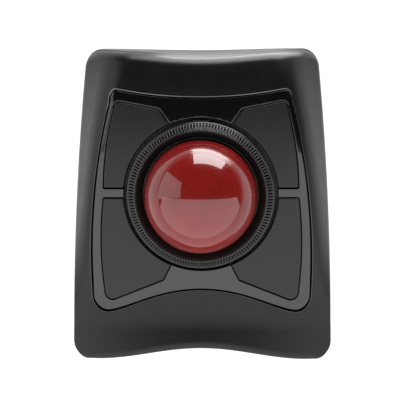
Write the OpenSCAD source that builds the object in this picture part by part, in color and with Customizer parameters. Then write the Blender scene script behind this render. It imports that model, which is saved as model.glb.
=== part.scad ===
/* [Body] */
// Width across the widest part of the sides
body_w = 130; // [126:1:134]
// Depth from the front corners to the rear corners
body_d = 158.2; // [156:0.2:162]
// Height of the widest line around the body
rim_z = 10; // [9:0.5:11]
// Wall thickness of the shells
wall = 2.2; // [1.8:0.1:2.6]
// Height of the joint between the top shell and the base
seam_z = 7; // [6.5:0.1:7.5]

/* [Deck] */
// Forward tilt of the button deck and scroll ring, in degrees
tilt = 9; // [7:0.5:11]
// Radius of the domed deck surface
crown_r = 360; // [340:5:400]
// Thickness of the bezel and of the button tops
deck_t = 2.4; // [2:0.1:2.6]

/* [Ball and ring] */
// Diameter of the ball
ball_d = 55; // [54:0.5:55]
// Height of the ball's centre
ball_z = 37.5; // [37:0.5:38]
// Distance of the ball's centre behind the middle of the body
ball_y = 2.7; // [2:0.1:3.4]
// Outer radius of the scroll ring
ring_r = 36.2; // [35.8:0.1:36.4]
// Radius of the ring's crest
crest_r = 32.1; // [31.8:0.1:32.4]
// Number of finger ribs on the ring
ribs = 144; // [120:12:156]

/* [Buttons] */
// Gap around each button
button_gap = 0.4; // [0.35:0.05:0.5]
// Distance of the front hinges from the middle
front_hinge_x = 42; // [41:0.5:43]
// Distance of the rear hinges from the middle
rear_hinge_x = 40; // [39.5:0.5:40.5]

/* [Power] */
// Diameter of an AA cell
cell_d = 14.2; // [14:0.1:14.4]

/* [Hidden] */
$fn = 48;

ball_r = ball_d / 2;
deck_drop = 4.57;
deck_y = ball_y + deck_drop * sin(tilt);
deck_z = ball_z - deck_drop * cos(tilt);
opening_r = 37.7;
floor_z = 1;
floor_t = 2.2;
floor_top = floor_z + floor_t;
plate_top = -11.6;
plate_t = 2;
front_corner = [57.2, -68.9];
rear_corner = [51, 70.5];

// Smooth minimum of two heights, blended over a band k wide
function smooth_min(a, b, k) = min(a, b) - pow(max(k - abs(a - b), 0), 2) / (4 * k);
function smooth_max(a, b, k) = -smooth_min(-a, -b, k);

// Heights of the body's skin
dome_y = deck_y + crown_r * sin(tilt);
dome_z = deck_z - crown_r * cos(tilt);
function deck_height(y) = dome_z + sqrt(crown_r * crown_r - pow(y - dome_y, 2));
function front_height(y) = 18.6 + 0.08 * max(-y - 54, 0);
function corner_drop(x, y) = 0.00005 * x * x * max(-y - 54, 0);
function rear_drop(y) = 0.006 * pow(max(y - 50, 0), 2);
function spine(y) = smooth_max(deck_height(y), front_height(y), 4) - rear_drop(y);
function silhouette_x(y) = body_w / 2 - 0.00035 * pow(y + 60, 2);
function deck_edge_x(y) = 54.9 - 0.00156 * pow(y + 32, 2);
function edge_height(y) = spine(y) - pow(deck_edge_x(y), 2) / (2 * crown_r) + 5;
function side_height(x, y) = rim_z + (edge_height(y) - rim_z) * (silhouette_x(y) - abs(x))
  / (silhouette_x(y) - deck_edge_x(y));
function crowned(x, y) = spine(y) - x * x / (2 * crown_r) - corner_drop(x, y);
function skin(x, y) = smooth_min(crowned(x, y), side_height(x, y), 10);

// Plan outline of the body at height z, moved in by inset; u runs along the right half, front to rear
function tuck(z) = 1.6 * pow(max(rim_z - z, 0) / rim_z, 2);
function body_x(y, z, inset) = silhouette_x(y) - tuck(z) - inset;
function wave(x, reach) = (1 + cos(180 * min(abs(x) / reach, 1))) / 2;
function body_front(x, z, inset) = -body_d / 2 + 6.1 * wave(x, 55.8) + 0.8 * tuck(z) + inset;
function body_rear(x, z, inset) = body_d / 2 - 0.15 * z - (0.8 + 0.052 * z) * wave(x, 50) - inset;
function deck_front(x) = -43.4 - 11.2 * (1.35 * pow(x / 46.5, 2) - 0.35 * pow(x / 46.5, 6));
function deck_rear(x) = 50.8 + 4.2 * pow(min(abs(x) / 40.5, 1.1), 2);
n_edge = 10;
n_corner = 9;
n_side = 12;
// Number of points along the right half
n_half = 2 * n_edge + 2 * n_corner + n_side + 1;
n_loop = 2 * n_half - 2;
// Stage 0 front edge, 1 front corner, 2 side, 3 rear corner, 4 rear edge
function stage(i) = i < n_edge ? [0, i / n_edge]
  : i < n_edge + n_corner ? [1, (i - n_edge) / n_corner]
  : i < n_edge + n_corner + n_side ? [2, (i - n_edge - n_corner) / n_side]
  : i < n_edge + 2 * n_corner + n_side ? [3, (i - n_edge - n_corner - n_side) / n_corner]
  : [4, (i - n_edge - 2 * n_corner - n_side) / n_edge];
function body_half(i, z, inset) = let (s = stage(i), k = s[0], t = s[1],
    fc = front_corner, rc = [rear_corner[0], rear_corner[1] - 0.15 * z],
    fy = body_front(fc[0], z, inset), ry = body_rear(rc[0], z, inset),
    yc = k == 1 ? fc[1] - (fc[1] - fy) * cos(90 * t) : rc[1] + (ry - rc[1]) * sin(90 * t))
  k == 0 ? [fc[0] * t, body_front(fc[0] * t, z, inset)]
  : k == 1 ? [fc[0] + (body_x(yc, z, inset) - fc[0]) * sin(90 * t), yc]
  : k == 2 ? let (y = fc[1] + (rc[1] - fc[1]) * t) [body_x(y, z, inset), y]
  : k == 3 ? [rc[0] + (body_x(yc, z, inset) - rc[0]) * cos(90 * t), yc]
  : [rc[0] * (1 - t), body_rear(rc[0] * (1 - t), z, inset)];
deck_front_corner = [46.1, -46.2];
deck_rear_corner = [40.5, 49.5];
function deck_half(i, inset) = let (s = stage(i), k = s[0], t = s[1],
    fc = deck_front_corner, rc = deck_rear_corner,
    a = 90 * t,
    fx = fc[0] + (deck_edge_x(fc[1]) - fc[0] - inset) * sin(a),
    rx = rc[0] + (deck_edge_x(rc[1]) - rc[0] - inset) * cos(a))
  k == 0 ? [fc[0] * t, deck_front(fc[0] * t) + inset]
  : k == 1 ? [fx, fc[1] + (deck_front(fx) + inset - fc[1]) * cos(a)]
  : k == 2 ? let (y = fc[1] + (rc[1] - fc[1]) * t) [deck_edge_x(y) - inset, y]
  : k == 3 ? [rx, rc[1] + (deck_rear(rx) - inset - rc[1]) * sin(a)]
  : [rc[0] * (1 - t), deck_rear(rc[0] * (1 - t)) - inset];
// Index around the whole loop: the left half mirrors the right one
function half_index(i) = i < n_half ? i : n_loop - i;
function side_sign(i) = i < n_half ? 1 : -1;
function body_point(i, z, inset) = let (p = body_half(half_index(i), z, inset)) [side_sign(i) * p[0], p[1]];
function deck_point(i, inset) = let (p = deck_half(half_index(i), inset)) [side_sign(i) * p[0], p[1]];
function body_outline(z, inset) = [for (i = [0 : n_loop - 1]) body_point(i, z, inset)];
function deck_outline(inset) = [for (i = [0 : n_loop - 1]) deck_point(i, inset)];
function lift(p, z) = [p[0], p[1], z];

// Edge rounding: large over the front lip, small at the sides and along the rear crease
function ease(t) = let (c = min(max(t, 0), 1)) c * c * (3 - 2 * c);
function round_wish(y) = 1.5 + 2 * ease((-y - 60) / 13) + 4 * ease((y - 60) / 8);
function top_point(i) = let (a = body_point(i, 20, 0), b = body_point(i, skin(a[0], a[1]), 0))
  body_point(i, skin(b[0], b[1]), 0);
function round_at(p) = min(round_wish(p[1]), skin(p[0], p[1]) - rim_z + 1.5);
function inward(i) = let (v = deck_point(i, 0) - top_point(i)) v / norm(v);
function drop_at(r, d) = d < r ? r - sqrt(r * r - pow(r - d, 2)) : 0;
function skin_point(i, d, lower) = let (p = top_point(i), q = p + d * inward(i))
  lift(q, max(skin(q[0], q[1]) - drop_at(round_at(p), d) - lower, seam_z + 0.3));
function span(i) = norm(deck_point(i, 0) - top_point(i));
function outer_ring(t) = [for (i = [0 : n_loop - 1])
  let (r = round_at(top_point(i))) skin_point(i, r + (span(i) - r) * t, 0)];
function round_ring(a) = [for (i = [0 : n_loop - 1]) skin_point(i, round_at(top_point(i)) * (1 - cos(a)), 0)];
function inner_ring(t) = [for (i = [0 : n_loop - 1])
  skin_point(i, wall + (span(i) - wall) * t, wall + 0.3)];
function wall_ring(z, inset) = [for (i = [0 : n_loop - 1]) lift(body_point(i, z, inset), z)];

// A closed surface from rings of equal length; the last ring joins the first when closed
function flat_list(rings) = [for (ring = rings) for (p = ring) p];
function band(k, next, n) = [for (i = [0 : n - 1]) each
  [[k * n + i, next * n + (i + 1) % n, k * n + (i + 1) % n],
   [k * n + i, next * n + i, next * n + (i + 1) % n]]];
module ring_solid(rings) {
  m = len(rings);
  n = len(rings[0]);
  polyhedron(flat_list(rings), [for (k = [0 : m - 1]) each band(k, (k + 1) % m, n)]);
}
module stack_solid(rings) {
  m = len(rings);
  n = len(rings[0]);
  ends = [[0, 0, rings[0][0][2]], [0, 0, rings[m - 1][0][2]]];
  polyhedron(concat(flat_list(rings), ends), concat(
    [for (k = [0 : m - 2]) each band(k, k + 1, n)],
    [for (i = [0 : n - 1]) [m * n, i, (i + 1) % n]],
    [for (i = [0 : n - 1]) [m * n + 1, (m - 1) * n + (i + 1) % n, (m - 1) * n + i]]));
}

// Frames: the deck frame sits in the ring opening, the ring frame at the ball's centre
module deck_frame() {
  translate([0, deck_y, deck_z]) rotate([tilt, 0, 0]) children();
}
module ring_frame() {
  translate([0, ball_y, ball_z]) rotate([tilt, 0, 0]) children();
}
module both_sides() {
  children();
  mirror([1, 0, 0]) children();
}
function dome_at(x, v) = sqrt(crown_r * crown_r - x * x - v * v) - crown_r;
// World height of a plane at depth w below the deck
function deck_plane(y, w) = deck_z + tan(tilt) * (y - deck_y) + w / cos(tilt);
// The domed slab between two depths below the deck surface
module dome_slab(top, bottom) {
  deck_frame() translate([0, 0, -crown_r]) difference() {
    sphere(r = crown_r + top, $fn = 360);
    sphere(r = crown_r + bottom, $fn = 360);
  }
}
module prism(points) {
  linear_extrude(60) polygon(points);
}

// Button outlines, moved in by gap
function arc(c, r, from, to, n) = [for (k = [0 : n]) let (a = from + (to - from) * k / n)
  [c[0] + r * cos(a), c[1] + r * sin(a)]];
function front_side_x(y) = 49.7 - 0.0026 * pow(y + 22, 2);
function front_outline(gap) = concat(
  [[8, 2.4 - gap]],
  arc([front_side_x(1) - 1, 1.4], 1 - gap, 90, 0, 3),
  [for (k = [0 : 8]) let (y = -1 - k * 5.2) [front_side_x(y) - gap, y]],
  arc([44.4, -44.6], 4 - gap, 0, -111.9, 7),
  arc([19.6, -37.3], 1.5 - gap, -111.9, -153.8, 3),
  [[11.6 + gap, -24.5], [8, -14]]);
function rear_side_x(y) = 48 - 0.0033 * pow(y - 5, 2);
function rear_outline(gap) = concat(
  [[8, 6.9 + gap]],
  arc([rear_side_x(8) - 1, 7.9], 1 - gap, -90, 0, 3),
  [for (k = [0 : 7]) let (y = 10 + k * 5.1) [rear_side_x(y) - gap, y]],
  arc([39.9, 46.6], 2.6 - gap, -12, 101.8, 6),
  arc([21.2, 43.6], 1.8 - gap, 101.8, 145.1, 3),
  [[11.1 + gap, 32.3], [8, 22]]);

// Deck-frame places of the switches and hinges: x, distance along the deck
front_switch = [33, -32];
rear_switch = [31, 30];
front_ears = [-38, -12];
rear_ears = [12, 36];
hinge_w = -9.2;
pin_r = 1;
bezel_posts = [[0, -43, 2.2], [0, 43.8, 2.2], [44, 1.1, 1.9], [-44, 1.1, 1.9]];
legs = [[42, -42], [47.5, 12.5], [37, 50]];
posts = [[36, -67], [38, 66]];
cup_screw_angles = [45, 135, 225, 315];
cup_screw_r = 34;
board_holes = [[40, -8], [40, 10]];
main_holes = [[30, -58], [30, -36]];
sensor_angle = 150;
// Opening in the chassis around each microswitch
switch_window = [6.4, 13.4, 6];
// Height at which the chassis legs stand on the base
leg_foot = 6;

module top_shell() {
  color("#1c1c1e") difference() {
    union() {
      ring_solid(concat([wall_ring(seam_z, 0)],
        [for (a = [0 : 15 : 90]) round_ring(a)],
        [for (k = [1 : 6]) outer_ring(k / 6)],
        [for (k = [4 : -1 : 0]) inner_ring(k / 4)],
        [wall_ring(seam_z, wall)]));
      both_sides() for (p = posts) {
        height = min([for (dx = [-3.2, 3.2]) for (dy = [-3.2, 3.2]) skin(p[0] + dx, p[1] + dy)]) - 1;
        translate([p[0], p[1], leg_foot]) cylinder(r = 3.2, h = height - leg_foot);
      }
    }
    both_sides() for (p = posts) translate([p[0], p[1], 5]) cylinder(r = 1.3, h = 8);
  }
}

module screw_boss(p) {
  translate([p[0], p[1], floor_z]) cylinder(r = 4.2, h = leg_foot - floor_z);
}
door = [31, 35.2, 70];
module base_shell() {
  color("#202022") difference() {
    union() {
      difference() {
        stack_solid([wall_ring(floor_z, 0), wall_ring(4, 0), wall_ring(seam_z, 0)]);
        translate([0, 0, floor_top]) linear_extrude(20) polygon(body_outline(seam_z, wall));
      }
      both_sides() for (p = concat(legs, posts)) screw_boss(p);
      both_sides() for (p = main_holes) translate([p[0], p[1], floor_z]) cylinder(r = 2.6, h = 8 - floor_z);
      tray_walls();
      receiver_cradle();
    }
    both_sides() for (p = concat(legs, posts)) {
      translate([p[0], p[1], 0]) cylinder(r = 2.9, h = 3.5);
      translate([p[0], p[1], 0]) cylinder(r = 1.5, h = 10);
    }
    both_sides() for (p = main_holes) translate([p[0], p[1], floor_top]) cylinder(r = 0.9, h = 8);
    both_sides() for (p = foot_spots) translate([p[0], p[1], 0]) cylinder(r = 6, h = floor_z + 0.6);
    translate([-door[0], door[1] - 1.1, 0]) cube([2 * door[0], door[2] - door[1] + 1.1, floor_top + 0.1]);
    translate([0, door[1], 1.9]) rotate([0, 90, 0]) cylinder(r = 0.5, h = 66, center = true);
    translate([power_spot[0] - 5, power_spot[1] - 2, 0]) cube([10, 4, 6]);
    translate([mode_spot[0] - 5, mode_spot[1] - 2, 0]) cube([10, 4, 6]);
    translate([connect_spot[0], connect_spot[1], 0]) cylinder(r = 2.58, h = 6);
  }
}
foot_spots = [[50, -66], [49, 61.5]];
power_spot = [-20, -52];
mode_spot = [20, -52];
connect_spot = [0, -52];
cell_y = [44.2, 60.2];
cell_z = 12;
module tray_walls() {
  for (x = [-31.4, 30.2]) translate([x, 34, floor_top]) cube([1.2, 36.6, 14 - floor_top]);
  for (y = [33, 70]) translate([-31.4, y, floor_top]) cube([62.8, 1.1, 14 - floor_top]);
}
module receiver_cradle() {
  for (y = [21.4, 30.2]) translate([-11, y, floor_z]) cube([22, 1.2, 8]);
}

module bezel() {
  color("#101011") difference() {
    union() {
      intersection() {
        dome_slab(0, -deck_t);
        prism(deck_outline(0.3));
      }
      for (p = bezel_posts) deck_frame() translate([p[0], p[1], plate_top])
        cylinder(r = p[2], h = dome_at(p[0], p[1]) - 1 - plate_top);
    }
    deck_frame() cylinder(r = opening_r, h = 20, center = true, $fn = 144);
    both_sides() prism(front_outline(0));
    both_sides() prism(rear_outline(0));
    for (p = bezel_posts) deck_frame() translate([p[0], p[1], plate_top - 1]) cylinder(r = 0.9, h = 6);
  }
}

module lug(x, v) {
  deck_frame() translate([x, v, 0]) {
    translate([-1.5, -1.25, plate_top]) cube([3, 2.5, hinge_w - plate_top]);
    translate([0, 0, hinge_w]) rotate([90, 0, 0]) cylinder(r = 1.5, h = 2.5, center = true);
  }
}
function lug_spots(ears) = [ears[0] - 2.8, ears[1] + 2.8];
module chassis() {
  color("#2b2c2f") difference() {
    union() {
      intersection() {
        deck_frame() translate([-60, -80, plate_top - plate_t]) cube([120, 160, plate_t]);
        prism(deck_outline(1.2));
      }
      both_sides() {
        for (v = lug_spots(front_ears)) lug(front_hinge_x, v);
        for (v = lug_spots(rear_ears)) lug(rear_hinge_x, v);
        for (p = legs) translate([p[0], p[1], leg_foot])
          cylinder(r = 3, h = deck_plane(p[1], plate_top - plate_t / 2) - leg_foot);
        for (p = board_holes) deck_frame() translate([p[0], p[1], -15])
          cylinder(r = 2.2, h = 15 + plate_top - plate_t / 2);
      }
    }
    deck_frame() {
      cylinder(r = 27.5, h = 40, center = true, $fn = 96);
      both_sides() {
        for (s = [front_switch, rear_switch]) translate([s[0], s[1], plate_top])
          cube(switch_window, center = true);
        pin_bore(front_hinge_x, front_ears);
        pin_bore(rear_hinge_x, rear_ears);
        for (p = board_holes) translate([p[0], p[1], -16]) cylinder(r = 0.8, h = 5.5);
      }
      for (p = bezel_posts) translate([p[0], p[1], plate_top]) cylinder(r = 1.1, h = 6, center = true);
      for (a = cup_screw_angles) rotate(a) translate([cup_screw_r, 0, plate_top])
        cylinder(r = 0.9, h = 6, center = true);
    }
    both_sides() for (p = legs) translate([p[0], p[1], 5]) cylinder(r = 1.3, h = 7);
  }
}
module pin_bore(x, ears) {
  translate([x, ears[0] - 5, hinge_w]) rotate([-90, 0, 0]) cylinder(r = pin_r, h = ears[1] - ears[0] + 10);
}

module ball_cup() {
  color("#161617") difference() {
    union() {
      ring_frame() rotate_extrude($fn = 96) bowl_profile();
      sensor_frame() both_sides() translate([8, 0, 28.9]) cylinder(r = 2, h = 4.1);
    }
    ring_frame() for (a = cup_screw_angles) rotate(a) translate([cup_screw_r, 0, flange_w - 1])
      cylinder(r = 1.1, h = 4);
    ring_frame() translate([-6, 31, flange_w - 1]) cube([12, 8, 6]);
    sensor_frame() cylinder(r = 3.5, h = 60, $fn = 48);
    for (a = [90, 210, 330]) bearing_spot(a) sphere(r = 1.28);
  }
}
flange_w = plate_top - deck_drop;
module bowl_profile() {
  difference() {
    intersection() {
      circle(r = 30.4, $fn = 144);
      translate([0, -40]) square([40, 40 - 7.5]);
    }
    circle(r = 28.6, $fn = 144);
  }
  difference() {
    translate([25, flange_w]) square([11, 1.5]);
    circle(r = 29.5, $fn = 144);
  }
}
module bearing_spot(a) {
  translate([0, ball_y, ball_z]) rotate([0, 0, a]) rotate([0, 38, 0])
    translate([ball_r + 1.28, 0, 0]) children();
}
// The sensor looks up at the ball from the front of the cup
module sensor_frame() {
  translate([0, ball_y, ball_z]) rotate([sensor_angle, 0, 0]) children();
}
module support_bearings() {
  color("#d8d8d2") for (a = [90, 210, 330]) bearing_spot(a) sphere(r = 1.25, $fn = 32);
}
module ring_track() {
  color("#d9d6cc") ring_frame() rotate_extrude($fn = 144) translate([30.4, flange_w + 1.5])
    square([1.75, -5.25 - flange_w - 1.5]);
}
module sensor_lens() {
  color("#c8d8e0") sensor_frame() translate([0, 0, 28.7]) cylinder(r = 3.5, h = 2.1);
}
module sensor_chip() {
  color("#141416") sensor_frame() translate([-5, -4.5, 30.9]) cube([10, 9, 2.1]);
}
module sensor_board() {
  color("#1d5a38") sensor_frame() difference() {
    translate([-11, -6, 33]) cube([22, 12, 1.4]);
    both_sides() translate([8, 0, 30]) cylinder(r = 0.9, h = 6);
  }
}

module hinge_pins() {
  color("#c9cbce") deck_frame() both_sides() {
    pin(front_hinge_x, front_ears);
    pin(rear_hinge_x, rear_ears);
  }
}
module pin(x, ears) {
  translate([x, ears[0] - 4.4, hinge_w]) rotate([-90, 0, 0]) cylinder(r = pin_r, h = ears[1] - ears[0] + 8.8);
}
// Pan-head screw standing on its head, with a cross recess
module screw(head_r, head_h, r, h) {
  difference() {
    union() {
      cylinder(r = head_r, h = head_h);
      cylinder(r = r, h = head_h + h);
    }
    for (a = [0, 90]) rotate(a) cube([1.3 * head_r, 0.3 * head_r, 1.2 * head_h], center = true);
  }
}
module case_screws() {
  color("#9a9ca0") both_sides() for (p = concat(legs, posts)) translate([p[0], p[1], 1.7])
    screw(2.6, 1.8, 1.3, 8);
}
module bezel_screws() {
  color("#9a9ca0") deck_frame() for (p = bezel_posts) translate([p[0], p[1], plate_top - plate_t - 1.2])
    screw(1.8, 1.2, 0.9, 6);
}
module cup_screws() {
  color("#9a9ca0") deck_frame() for (a = cup_screw_angles) rotate(a)
    translate([cup_screw_r, 0, plate_top + 1.5 + 1]) mirror([0, 0, 1]) screw(1.7, 1, 0.9, 3);
}
module board_screws() {
  color("#9a9ca0") {
    deck_frame() both_sides() for (p = board_holes) translate([p[0], p[1], -17.6]) screw(1.7, 1, 0.8, 5);
    both_sides() for (p = main_holes) translate([p[0], p[1], 10.6]) mirror([0, 0, 1]) screw(1.8, 1, 0.9, 5);
  }
}
module rubber_feet() {
  color("#3a3a3c") both_sides() for (p = foot_spots) translate([p[0], p[1], 0])
    cylinder(r = 6, h = floor_z + 0.6);
}
// Thickness of the circuit boards and height of the main one
board_t = 1.6;
board_z = 8;
module main_board() {
  color("#1d5a38") difference() {
    translate([-36, -62, board_z]) cube([72, 29.2, board_t]);
    both_sides() for (p = main_holes) translate([p[0], p[1], 7]) cylinder(r = 0.9, h = 4);
  }
}
module controller_chip() {
  color("#141416") translate([-4.5, -56, board_z + board_t]) cube([9, 9, 1.2]);
}
module switch_board() {
  color("#1d5a38") difference() {
    deck_frame() translate([27, -39, -15 - board_t]) cube([17, 77, board_t]);
    deck_frame() for (p = board_holes) translate([p[0], p[1], -18]) cylinder(r = 0.8, h = 4);
  }
}
module left_switch_board() { mirror([1, 0, 0]) switch_board(); }
module right_switch_board() { switch_board(); }
plunger_w = 2.4;
module switch_body(s) {
  color("#26262a") deck_frame() translate([s[0], s[1], 0]) difference() {
    translate([-2.9, -6.4, -15]) cube([5.8, 12.8, 6.5]);
    translate([-1.3, -1.3, -10.5]) cube([2.6, 2.6, 3]);
  }
}
module front_left_switch() { mirror([1, 0, 0]) switch_body(front_switch); }
module front_right_switch() { switch_body(front_switch); }
module rear_left_switch() { mirror([1, 0, 0]) switch_body(rear_switch); }
module rear_right_switch() { switch_body(rear_switch); }
module plunger(s) {
  color("#b33a32") deck_frame() translate([s[0] - 1.2, s[1] - 1.2, -9.9]) cube([plunger_w, plunger_w, 2.3]);
}
module front_left_plunger() { mirror([1, 0, 0]) plunger(front_switch); }
module front_right_plunger() { plunger(front_switch); }
module rear_left_plunger() { mirror([1, 0, 0]) plunger(rear_switch); }
module rear_right_plunger() { plunger(rear_switch); }

module encoder_fork() {
  color("#19191b") ring_frame() translate([0, 0, flange_w]) {
    translate([-4, 32.5, 0]) cube([8, 4, 2.6]);
    translate([-4, 32.4, 0]) cube([8, 0.8, -7.4 - flange_w]);
    translate([-4, 34.9, 0]) cube([8, 1.6, -7.4 - flange_w]);
  }
}

module power_switch() {
  color("#8d9094") translate([power_spot[0] - 6, power_spot[1] - 3, 5]) cube([12, 6, 3]);
}
module mode_switch() {
  color("#8d9094") translate([mode_spot[0] - 6, mode_spot[1] - 3, 5]) cube([12, 6, 3]);
}
module connect_switch() {
  color("#8d9094") translate([connect_spot[0] - 3, connect_spot[1] - 3, 5.4]) cube([6, 6, 2.6]);
}
module slider(x) {
  translate([x - 2.5, power_spot[1] - 1.7, 1.3]) cube([5, 3.4, 2.3]);
  translate([x - 4, power_spot[1] - 2.8, 3.4]) cube([8, 5.6, 1.3]);
}
module power_slider() {
  color("#6a6c70") slider(power_spot[0] - 2);
}
module mode_slider() {
  color("#6a6c70") slider(mode_spot[0] - 2);
}
module connect_button() {
  color("#6a6c70") translate([connect_spot[0], connect_spot[1], 1.5]) {
    cylinder(r = 2.5, h = 2);
    translate([0, 0, 1.9]) cylinder(r = 3.4, h = 1);
  }
}

module cell(y, way) {
  translate([way * 28, y, cell_z]) rotate([0, -90 * way, 0]) {
    translate([0, 0, 1]) cylinder(d = cell_d, h = 49.2);
    cylinder(r = 2.75, h = 1.1);
  }
}
module front_cell() {
  color("#3f4a57") cell(cell_y[0], 1);
}
module rear_cell() {
  color("#3f4a57") cell(cell_y[1], -1);
}
// Conical coil: wire radius, turns and length
spring_wire = 0.4;
function coil_point(t) = let (a = 360 * 3 * t, r = 5 - 2.4 * t) [r * cos(a), r * sin(a), 5.5 * t];
function coil_ring(k, m) = let (t = k / m, a = 360 * 3 * t, c = coil_point(t))
  [for (s = [0 : 5]) let (w = 60 * s, out = spring_wire * cos(w))
    [c[0] + out * cos(a), c[1] + out * sin(a), c[2] + spring_wire * sin(w)]];
module coil() {
  m = 36;
  rings = [for (k = [0 : m]) coil_ring(k, m)];
  last = m * 6;
  polyhedron(flat_list(rings), concat([for (k = [0 : m - 1]) each band(k, k + 1, 6)],
    [[0, 1, 2, 3, 4, 5]], [[for (s = [0 : 5]) last + 5 - s]]));
}
module battery_springs() {
  color("#d0d2d6") {
    translate([-29.2, cell_y[0], cell_z]) rotate([0, 90, 0]) coil();
    translate([29.2, cell_y[1], cell_z]) rotate([0, -90, 0]) coil();
  }
}
module contact_plates() {
  color("#d0d2d6") for (x = [-30.2, 29.7]) for (y = cell_y) translate([x, y - 5.5, 5]) cube([0.5, 11, 13]);
}
module door_pin() {
  color("#c9cbce") translate([0, door[1], 1.9]) rotate([0, 90, 0]) cylinder(r = 0.5, h = 65, center = true);
}
module battery_door() {
  color("#202022") difference() {
    union() {
      translate([-30.7, door[1], 1]) cube([61.4, door[2] - door[1] - 0.3, 1.6]);
      translate([0, door[1], 1.9]) rotate([0, 90, 0]) cylinder(r = 0.9, h = 61.4, center = true);
      translate([-6, door[2] - 2.2, 2.5]) cube([12, 1.2, 2.2]);
    }
    translate([0, door[1], 1.9]) rotate([0, 90, 0]) cylinder(r = 0.55, h = 70, center = true);
    for (k = [0 : 4]) translate([-8, door[2] - 6 - 1.6 * k, 0.9]) cube([16, 0.8, 0.5]);
  }
}
module usb_receiver() {
  color("#1a1a1c") translate([-9, 22.9, 5]) cube([7, 7, 4]);
  color("#c9cbce") translate([-2.5, 23.1, 5.2]) cube([12, 6.6, 3.6]);
}

module ball() {
  color("#8c1a1c") translate([0, ball_y, ball_z]) sphere(r = ball_r, $fn = 128);
}
module scroll_ring() {
  color("#19191b") ring_frame() difference() {
    rotate_extrude($fn = 144) polygon([[28.6, -4], [31.6, -0.3], [crest_r, 0], [32.6, -0.3], [ring_r, -3.6],
      [ring_r, -7], [35, -7], [35, -5], [32.9, -5], [32.9, -7], [32.2, -7], [32.2, -5], [28.6, -5]]);
    for (k = [0 : ribs / 4 - 1]) rotate(4 * 360 / ribs * k) translate([ring_r, -0.35, -3.8])
      cube([1, 0.7, 9]);
  }
}
module encoder_ring() {
  color("#0c0c0d") ring_frame() difference() {
    rotate_extrude($fn = 144) translate([33.7, -10]) square([0.7, 5]);
    for (k = [0 : 35]) rotate(10 * k) translate([30, -0.7, -9.6]) cube([8, 1.4, 2.4]);
  }
}

module ear(x, v) {
  deck_frame() translate([x, v, 0]) {
    translate([-1.7, -1.25, hinge_w]) cube([3.4, 2.5, dome_at(x, v) - 1 - hinge_w]);
    translate([0, 0, hinge_w]) rotate([90, 0, 0]) cylinder(r = 1.7, h = 2.5, center = true);
  }
}
module button(outline, x, ears, s) {
  color("#2f3033") difference() {
    union() {
      difference() {
        intersection() {
          dome_slab(0.2, -deck_t);
          prism(outline);
        }
        deck_frame() cylinder(r = opening_r + 0.3, h = 20, center = true, $fn = 144);
      }
      for (v = ears) ear(x, v);
      deck_frame() translate([s[0], s[1], -7.5]) cylinder(r = 1.6, h = 7.5 - 1.4 + dome_at(s[0], s[1]));
    }
    deck_frame() translate([x, ears[0] - 2, hinge_w]) rotate([-90, 0, 0])
      cylinder(r = pin_r + 0.05, h = ears[1] - ears[0] + 4);
  }
}
module front_right_button() { button(front_outline(button_gap), front_hinge_x, front_ears, front_switch); }
module front_left_button() { mirror([1, 0, 0]) front_right_button(); }
module rear_right_button() { button(rear_outline(button_gap), rear_hinge_x, rear_ears, rear_switch); }
module rear_left_button() { mirror([1, 0, 0]) rear_right_button(); }

top_shell();
base_shell();
bezel();
chassis();
ball_cup();
support_bearings();
ring_track();
hinge_pins();
case_screws();
bezel_screws();
cup_screws();
board_screws();
rubber_feet();
main_board();
controller_chip();
left_switch_board();
right_switch_board();
front_left_switch();
front_right_switch();
rear_left_switch();
rear_right_switch();
encoder_fork();
sensor_board();
sensor_chip();
sensor_lens();
power_switch();
mode_switch();
connect_switch();
front_cell();
rear_cell();
battery_springs();
contact_plates();
door_pin();
usb_receiver();
ball();
scroll_ring();
encoder_ring();
front_left_button();
front_right_button();
rear_left_button();
rear_right_button();
front_left_plunger();
front_right_plunger();
rear_left_plunger();
rear_right_plunger();
battery_door();
power_slider();
mode_slider();
connect_button();
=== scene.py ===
import math
import bmesh
import bpy
import numpy as np
from mathutils import Matrix, Vector
from mathutils.geometry import delaunay_2d_cdt


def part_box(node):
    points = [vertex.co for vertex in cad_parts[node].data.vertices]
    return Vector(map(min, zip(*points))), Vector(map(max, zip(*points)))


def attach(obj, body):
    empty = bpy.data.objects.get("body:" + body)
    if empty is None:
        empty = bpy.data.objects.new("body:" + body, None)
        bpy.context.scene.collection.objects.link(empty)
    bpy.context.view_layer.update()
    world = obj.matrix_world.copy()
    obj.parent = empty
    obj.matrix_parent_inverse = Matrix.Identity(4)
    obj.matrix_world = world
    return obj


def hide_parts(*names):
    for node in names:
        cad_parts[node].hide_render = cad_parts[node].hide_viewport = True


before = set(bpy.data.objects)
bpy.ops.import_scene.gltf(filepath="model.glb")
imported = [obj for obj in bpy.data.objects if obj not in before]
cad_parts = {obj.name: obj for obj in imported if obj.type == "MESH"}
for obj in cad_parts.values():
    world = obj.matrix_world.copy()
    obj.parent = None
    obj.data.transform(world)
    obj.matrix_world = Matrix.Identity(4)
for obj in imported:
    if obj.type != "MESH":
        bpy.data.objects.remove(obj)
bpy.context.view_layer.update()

# ---------------------------------------------------------------- dimensions, in millimetres
MM = 0.001
TILT = math.radians(9)
CROWN_R = 360.0
DECK_T = 2.4
WALL = 2.2
RIM_Z = 10.0
SEAM_Z = 7.0
FLOOR_Z = 1.0
BODY_W, BODY_D = 130.0, 158.2
BALL = np.array([0.0, 2.7, 37.5])
DECK_DROP = 4.57
DECK_Y = BALL[1] + DECK_DROP * math.sin(TILT)
DECK_Z = BALL[2] - DECK_DROP * math.cos(TILT)
DOME_Y = DECK_Y + CROWN_R * math.sin(TILT)
DOME_Z = DECK_Z - CROWN_R * math.cos(TILT)
OPENING_R = 37.7
BUTTON_GAP = 0.4
FRONT_CORNER = (57.2, -68.9)
REAR_CORNER = (51.0, 70.5)
DECK_FRONT_CORNER = (46.1, -46.2)
DECK_REAR_CORNER = (40.5, 49.5)
BUTTON_RISE, BUTTON_EDGE = 0.15, 0.45
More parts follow.
